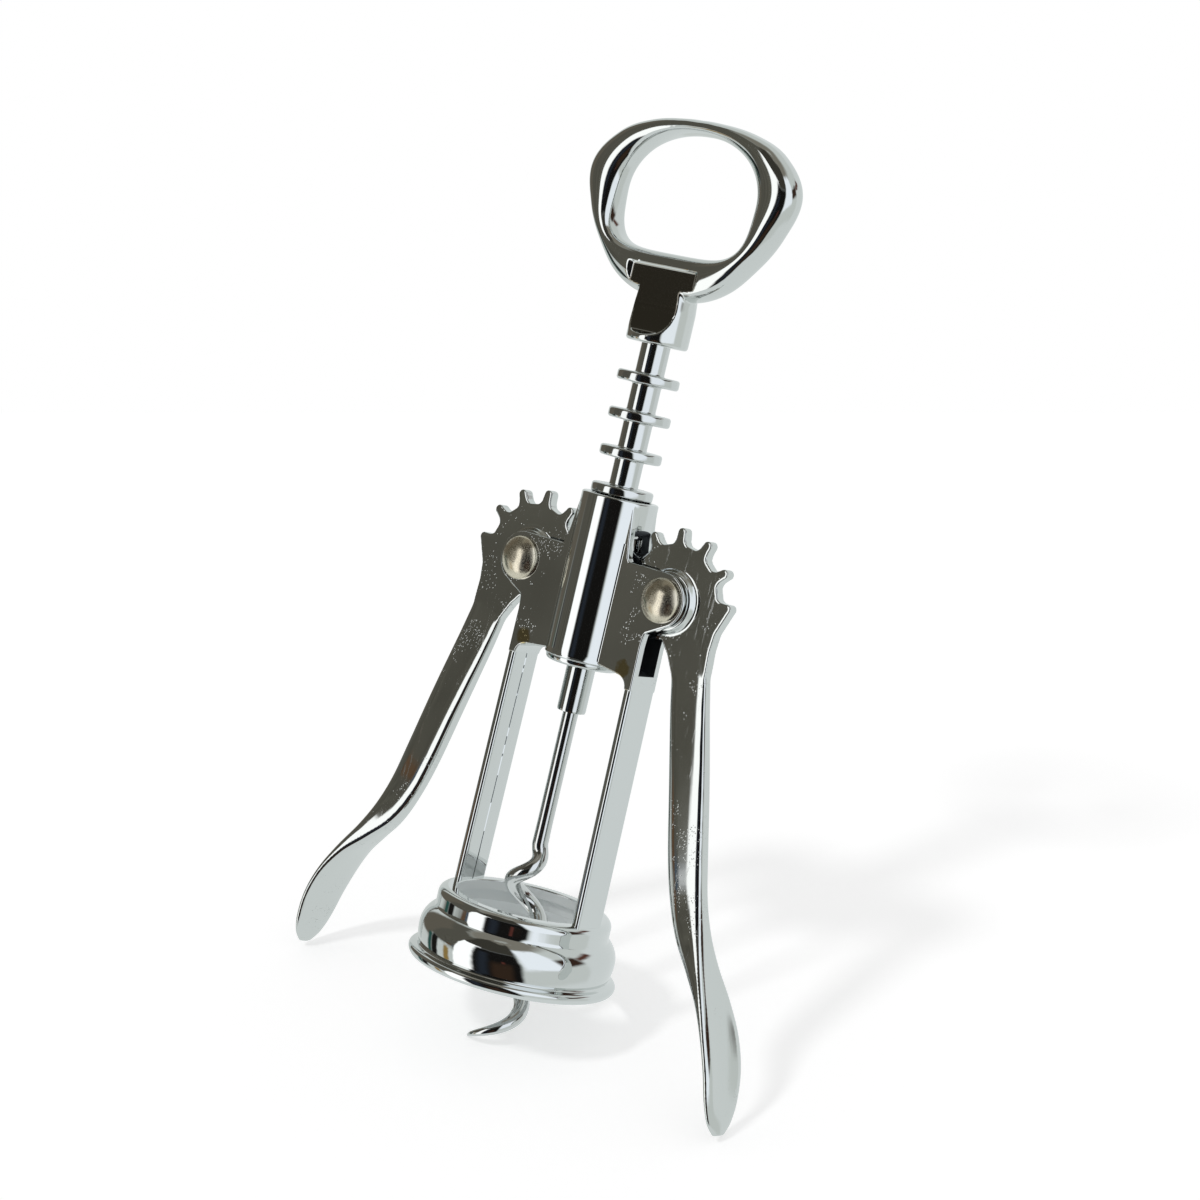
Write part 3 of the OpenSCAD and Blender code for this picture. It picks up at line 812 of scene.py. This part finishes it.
camera = bpy.data.objects.new("camera", bpy.data.cameras.new("camera"))
bpy.context.scene.collection.objects.link(camera)
camera.data.sensor_fit = "HORIZONTAL"
camera.data.sensor_width = 36
camera.data.lens = 73.02
camera.data.clip_start = 0.01
camera.matrix_world = Matrix((
    (RIGHT.x, -DOWN_IMAGE.x, -AHEAD.x, EYE.x),
    (RIGHT.y, -DOWN_IMAGE.y, -AHEAD.y, EYE.y),
    (RIGHT.z, -DOWN_IMAGE.z, -AHEAD.z, EYE.z),
    (0, 0, 0, 1),
))
bpy.context.scene.camera = camera


def floor():
    """A white table that keeps the soft shadow. From below it lets the view through."""
    made, tree = empty_material("white_table")
    path = node(tree, "LightPath")
    diffuse = node(tree, "BsdfDiffuse", Color=linear("#e6e6e6"))
    glow = node(tree, "Emission", Color=(1, 1, 1, 1), Strength=0.5)
    lit = node(tree, "AddShader", i0=diffuse.outputs[0], i1=glow.outputs[0])
    seen = node(
        tree, "MixShader",
        i0=path.outputs["Is Camera Ray"], i1=diffuse.outputs[0], i2=lit.outputs[0]
    )
    clear = node(tree, "BsdfTransparent")
    back = node(tree, "NewGeometry").outputs["Backfacing"]
    both = node(tree, "MixShader", i0=back, i1=seen.outputs[0], i2=clear.outputs[0])
    node(tree, "OutputMaterial", Surface=both.outputs[0])
    drop, half = 12.5, 420
    deep = UP.cross(ACROSS)
    signs = ((-1, -1), (1, -1), (1, 1), (-1, 1))
    corners = [UP * -drop + ACROSS * (x * half) + deep * (y * half) for x, y in signs]
    table = piece("white_table", corners, [(0, 1, 2, 3)])
    table.data.materials.append(made)
    table.visible_glossy = False


floor()

# A broad soft box, high in front
sun = bpy.data.objects.new("key_light", bpy.data.lights.new("key_light", "SUN"))
bpy.context.scene.collection.objects.link(sun)
sun.data.energy = 0.6
sun.data.angle = radians(7.5)
sun.visible_glossy = False
toward = Vector((-0.144, -0.8165, 0.559)).normalized()
sun.matrix_world = toward.to_track_quat("Z", "Y").to_matrix().to_4x4()

# What the bright metal mirrors: cards and dark gaps of the studio, each as its azimuth from the
# viewer's side (right is +) and height above the floor's horizon, softness, colour and strength
CARDS = [
    (-180, 180, 60, 91, 8, "#8a867c", 0.9),
    (-180, 180, -91, -37, 5, "#dfe4e4", 1.0),
    (93, 181, -91, 25, 5, "#dfe4e4", 1.0),
    (-82, 12, 38, 80, 5, "#3c3a34", 1.0),
    (-150, -73, 0, 62, 4, "#58564e", 1.0),
    (-152, -114, -11, 44, 4, "#645f55", 1.0),
    (-120, -112, -28, -2, 2.5, "#2f524c", 1.0),
    (-112, -101, -28, 2, 2, "#1c1b19", 1.0),
    (-90, -82, -26, -3, 2, "#967c4a", 1.0),
    (-87, -79.4, 1.6, 5.0, 0.8, "#5f4a38", 1.0),
    (-79, -73, 2.4, 5.6, 1.0, "#4f5a66", 1.0),
    (10, 60, -6, 62, 5, "#e9eef5", 1.25),
    (60, 93, 5, 30, 5, "#3a2a22", 1.0),
    (93, 120, 15, 25, 4, "#5a3a30", 1.0),
    (-75, -44, -36, 42, 1.2, "#ffffff", 1.35),
    (-51, 7, -38, 40, 3.5, "#161514", 1.0),
    (-44, -32, -30, 30, 5, "#262b33", 1.0),
    (-28, -4, -32, 2, 5, "#35281f", 1.0),
    (-15.5, -11, 2, 8, 1.2, "#57302a", 1.0),
]


def studio():
    """The room: its cards for what the metal mirrors, plain grey light, and white behind it all."""
    world = bpy.data.worlds.new("studio")
    bpy.context.scene.world = world
    world.use_nodes = True
    tree = world.node_tree
    tree.nodes.clear()
    true_way = node(tree, "TexCoord").outputs["Generated"]
    # The cards' edges are never quite straight in a casting: a slow ripple bends them
    ripple = node(tree, "TexNoise", Vector=true_way, Scale=9.0, Detail=3.0, Roughness=0.6)
    offset = node(
        tree, "VectorMath", {"operation": "SUBTRACT"},
        i0=ripple.outputs["Color"], i1=(0.5, 0.5, 0.5)
    ).outputs[0]
    bent = node(tree, "VectorMath", {"operation": "SCALE"}, i0=offset, Scale=0.07).outputs[0]
    way = node(tree, "VectorMath", {"operation": "ADD"}, i0=true_way, i1=bent).outputs[0]

    def part(axis):
        """How far the ray's way runs along an axis."""
        along = node(tree, "VectorMath", {"operation": "DOT_PRODUCT"}, i0=way, i1=axis)
        return along.outputs["Value"]

    def degrees(socket):
        return node(tree, "Math", {"operation": "DEGREES"}, i0=socket).outputs[0]

    azimuth = degrees(node(
        tree, "Math", {"operation": "ARCTAN2"}, i0=part(ACROSS), i1=part(ACROSS.cross(UP))
    ).outputs[0])
    height = degrees(node(tree, "Math", {"operation": "ARCSINE"}, i0=part(UP)).outputs[0])

    def window(value, low, high, soft):
        """1 between low and high, and 0 outside, with soft edges."""
        rise = node(
            tree, "MapRange", {"interpolation_type": "SMOOTHSTEP"},
            Value=value, From_Min=low - soft, From_Max=low + soft
        ).outputs[0]
        fall = node(
            tree, "MapRange", {"interpolation_type": "SMOOTHSTEP"},
            Value=value, From_Min=high - soft, From_Max=high + soft, To_Min=1.0, To_Max=0.0
        ).outputs[0]
        return node(tree, "Math", {"operation": "MULTIPLY"}, i0=rise, i1=fall).outputs[0]

    shade = linear("#d2d7d5")
    for az0, az1, el0, el1, soft, colour, strength in CARDS:
        sides = window(azimuth, az0, az1, soft) if az1 - az0 < 359 else 1.0
        mask = node(
            tree, "Math", {"operation": "MULTIPLY"},
            i0=sides, i1=window(height, el0, el1, soft)
        ).outputs[0]
        tone = tuple(c * strength for c in linear(colour)[:3]) + (1,)
        shade = node(tree, "Mix", {"data_type": "RGBA"}, i0=mask, i6=shade, i7=tone).outputs[2]
    # The room is uneven where the flat front faces mirror it
    mottled = node(tree, "TexNoise", Vector=true_way, Scale=16.0, Detail=3.0, Roughness=0.6)
    mottled = node(
        tree, "MapRange", Value=mottled.outputs["Fac"],
        From_Min=0.3, From_Max=0.7, To_Min=0.72, To_Max=1.28
    ).outputs[0]
    ahead = node(
        tree, "Math", {"operation": "MULTIPLY"},
        i0=window(azimuth, -96, -76, 2), i1=window(height, -4, 26, 3)
    ).outputs[0]
    mottled = node(tree, "Mix", Factor=ahead, A=1.0, B=mottled).outputs[0]
    shade = node(tree, "VectorMath", {"operation": "SCALE"}, i0=shade, Scale=mottled).outputs[0]
    mirrored_room = node(tree, "Background", Color=shade)
    plain = node(tree, "Background", Color=(0.5, 0.5, 0.5, 1))
    white = node(tree, "Background", Color=(1, 1, 1, 1))
    path = node(tree, "LightPath")
    light = node(
        tree, "MixShader",
        i0=path.outputs["Is Glossy Ray"], i1=plain.outputs[0], i2=mirrored_room.outputs[0]
    )
    seen = node(
        tree, "MixShader",
        i0=path.outputs["Is Camera Ray"], i1=light.outputs[0], i2=white.outputs[0]
    )
    node(tree, "OutputWorld", Surface=seen.outputs[0])


studio()

bpy.context.scene.view_settings.view_transform = "Standard"
